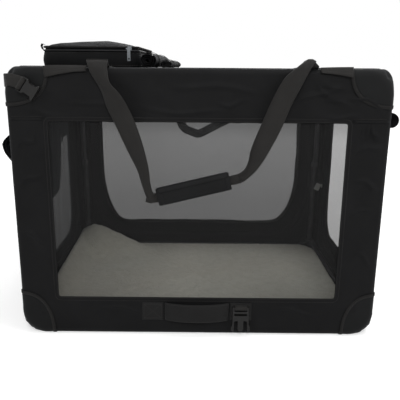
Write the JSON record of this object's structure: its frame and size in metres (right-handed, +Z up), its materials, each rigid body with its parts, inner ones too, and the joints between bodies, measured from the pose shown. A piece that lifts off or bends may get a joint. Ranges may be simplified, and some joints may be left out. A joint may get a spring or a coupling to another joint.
{
  "type": "soft folding dog crate",
  "caption": "Soft-sided folding dog crate on a folding tube frame, with mesh windows and doors, a roof opening, a padded mat, a carry strap and a roof storage bag.",
  "frame": {"origin": "middle of the crate's underside, on the floor", "axes": "+X along the length to the right as seen from the front, +Y from the front to the rear, +Z up"},
  "size_m": [0.761, 0.5709, 0.5751],
  "materials": {
    "polyester": "woven polyester",
    "mesh": "open polyester mesh",
    "webbing": "woven webbing",
    "fleece": "fleece",
    "plastic": "moulded",
    "coated_steel": "powder coated",
    "zinc": "zinc alloy"
  },
  "bodies": {
    "base": {"base_panel": "polyester", "bottom_front_tube": "coated_steel", "bottom_rear_tube": "coated_steel", "bottom_left_tube": "coated_steel", "bottom_right_tube": "coated_steel", "bottom_front_left_connector": "plastic", "bottom_front_right_connector": "plastic", "bottom_rear_left_connector": "plastic", "bottom_rear_right_connector": "plastic", "fleece_mat": "fleece", "front_wall": "polyester", "front_window_mesh": "mesh", "rear_wall": "polyester", "left_wall": "polyester", "right_wall": "polyester", "left_handle_patch": "webbing", "right_handle_patch": "webbing", "buckle_strap": "webbing"},
    "top_frame": {"top_front_tube": "coated_steel", "top_rear_tube": "coated_steel", "top_left_tube": "coated_steel", "top_right_tube": "coated_steel", "top_front_left_connector": "plastic", "top_front_right_connector": "plastic", "top_rear_left_connector": "plastic", "top_rear_right_connector": "plastic", "roof_panel": "polyester", "rolled_roof_cover": "polyester", "rolled_roof_mesh": "mesh", "storage_bag": "polyester", "left_strap_anchor": "webbing", "right_strap_anchor": "webbing", "corner_buckle_strap": "webbing"},
    "rear_door": {"rear_door": "polyester", "rear_door_mesh": "mesh", "rolled_rear_cover": "polyester"},
    "left_door": {"left_door": "polyester", "left_door_mesh": "mesh", "rolled_left_cover": "polyester"},
    "right_door": {"right_door": "polyester", "right_door_mesh": "mesh", "rolled_right_cover": "polyester"},
    "shoulder_strap": {"shoulder_strap": "webbing", "shoulder_pad": "polyester"},
    "rear_zip_slider": {"rear_zip_slider": "zinc"},
    "left_zip_slider": {"left_zip_slider": "zinc"},
    "right_zip_slider": {"right_zip_slider": "zinc"},
    "bag_zip_slider": {"bag_zip_slider": "zinc"},
    "bag_lid": {"bag_lid": "polyester"},
    "carry_handle": {"carry_handle": "webbing"},
    "male_buckle": {"male_buckle": "plastic"},
    "female_buckle": {"female_buckle": "plastic"},
    "front_left_lower_leg": {"front_left_lower_leg": "coated_steel"},
    "front_left_upper_leg": {"front_left_upper_leg": "coated_steel"},
    "front_right_lower_leg": {"front_right_lower_leg": "coated_steel"},
    "front_right_upper_leg": {"front_right_upper_leg": "coated_steel"},
    "rear_left_lower_leg": {"rear_left_lower_leg": "coated_steel"},
    "rear_left_upper_leg": {"rear_left_upper_leg": "coated_steel"},
    "rear_right_lower_leg": {"rear_right_lower_leg": "coated_steel"},
    "rear_right_upper_leg": {"rear_right_upper_leg": "coated_steel"}
  },
  "joints": [
    {"name": "fold", "type": "hinge", "parent": "base", "child": "front_left_lower_leg", "pos_m": [-0.322, -0.234, 0.042], "axis": [0, 1, 0], "range_deg": [0, 85], "deforming": ["front_wall", "front_window_mesh", "rear_wall", "left_wall", "right_wall", "rear_door", "rear_door_mesh", "rolled_rear_cover", "rear_zip_slider", "left_door", "left_door_mesh", "rolled_left_cover", "left_zip_slider", "right_door", "right_door_mesh", "right_zip_slider", "shoulder_strap", "shoulder_pad"]},
    {"name": "front_left_knee", "type": "hinge", "parent": "front_left_lower_leg", "child": "front_left_upper_leg", "pos_m": [-0.322, -0.2205, 0.26], "axis": [0, 1, 0], "range_deg": [-170, 0]},
    {"name": "front_right_lower_pivot", "type": "hinge", "parent": "base", "child": "front_right_lower_leg", "pos_m": [0.322, -0.234, 0.042], "axis": [0, -1, 0], "range_deg": [0, 85]},
    {"name": "front_right_knee", "type": "hinge", "parent": "front_right_lower_leg", "child": "front_right_upper_leg", "pos_m": [0.322, -0.2205, 0.26], "axis": [0, -1, 0], "range_deg": [-170, 0]},
    {"name": "rear_left_lower_pivot", "type": "hinge", "parent": "base", "child": "rear_left_lower_leg", "pos_m": [-0.322, 0.234, 0.042], "axis": [0, 1, 0], "range_deg": [0, 85]},
    {"name": "rear_left_knee", "type": "hinge", "parent": "rear_left_lower_leg", "child": "rear_left_upper_leg", "pos_m": [-0.322, 0.2205, 0.26], "axis": [0, 1, 0], "range_deg": [-170, 0]},
    {"name": "rear_right_lower_pivot", "type": "hinge", "parent": "base", "child": "rear_right_lower_leg", "pos_m": [0.322, 0.234, 0.042], "axis": [0, -1, 0], "range_deg": [0, 85]},
    {"name": "rear_right_knee", "type": "hinge", "parent": "rear_right_lower_leg", "child": "rear_right_upper_leg", "pos_m": [0.322, 0.2205, 0.26], "axis": [0, -1, 0], "range_deg": [-170, 0]},
    {"name": "top_pivot", "type": "hinge", "parent": "front_left_upper_leg", "child": "top_frame", "pos_m": [-0.322, -0.2205, 0.478], "axis": [0, 1, 0], "range_deg": [0, 85]},
    {"name": "rear_door_hinge", "type": "hinge", "parent": "top_frame", "child": "rear_door", "pos_m": [0, 0.26, 0.445], "axis": [-1, 0, 0], "range_deg": [-90, 0]},
    {"name": "left_door_hinge", "type": "hinge", "parent": "top_frame", "child": "left_door", "pos_m": [-0.35, 0, 0.445], "axis": [0, -1, 0], "range_deg": [-90, 0]},
    {"name": "right_door_hinge", "type": "hinge", "parent": "top_frame", "child": "right_door", "pos_m": [0.35, 0, 0.445], "axis": [0, 1, 0], "range_deg": [-90, 0]},
    {"name": "bag_lid_hinge", "type": "hinge", "parent": "top_frame", "child": "bag_lid", "pos_m": [-0.212, 0.125, 0.5566], "axis": [1, 0, 0], "range_deg": [-110, 0]},
    {"name": "shoulder_strap_swing", "type": "hinge", "parent": "top_frame", "child": "shoulder_strap", "pos_m": [0, -0.264, 0.5345], "axis": [1, 0, 0], "range_deg": [-180, 0]},
    {"name": "female_buckle_swing", "type": "hinge", "parent": "top_frame", "child": "female_buckle", "pos_m": [-0.315, -0.2696, 0.4915], "axis": [0.5736, 0, 0.8192], "range_deg": [-90, 0]},
    {"name": "carry_handle_swing", "type": "hinge", "parent": "base", "child": "carry_handle", "pos_m": [-0.00225, -0.2622, 0.0705], "axis": [1, 0, 0], "range_deg": [-90, 0]},
    {"name": "male_buckle_swing", "type": "hinge", "parent": "base", "child": "male_buckle", "pos_m": [0.085, -0.2678, 0.062], "axis": [1, 0, 0], "range_deg": [-90, 0]},
    {"name": "rear_zip", "type": "slide", "parent": "rear_door", "child": "rear_zip_slider", "axis": [0, 0, -1], "range_m": [-0.165, 0.005]},
    {"name": "left_zip", "type": "slide", "parent": "left_door", "child": "left_zip_slider", "axis": [0, 0, -1], "range_m": [-0.225, 0.02]},
    {"name": "right_zip", "type": "slide", "parent": "right_door", "child": "right_zip_slider", "axis": [0, 0, -1], "range_m": [-0.229, 0.02]},
    {"name": "bag_zip", "type": "slide", "parent": "top_frame", "child": "bag_zip_slider", "axis": [1, 0, 0], "range_m": [-0.14, 0]}
  ],
  "couplings": [
    {"joint": "front_left_knee", "follows": "fold", "ratio": -2},
    {"joint": "front_right_lower_pivot", "follows": "fold", "ratio": 1},
    {"joint": "front_right_knee", "follows": "fold", "ratio": -2},
    {"joint": "rear_left_lower_pivot", "follows": "fold", "ratio": 1},
    {"joint": "rear_left_knee", "follows": "fold", "ratio": -2},
    {"joint": "rear_right_lower_pivot", "follows": "fold", "ratio": 1},
    {"joint": "rear_right_knee", "follows": "fold", "ratio": -2},
    {"joint": "top_pivot", "follows": "fold", "ratio": 1}
  ]
}
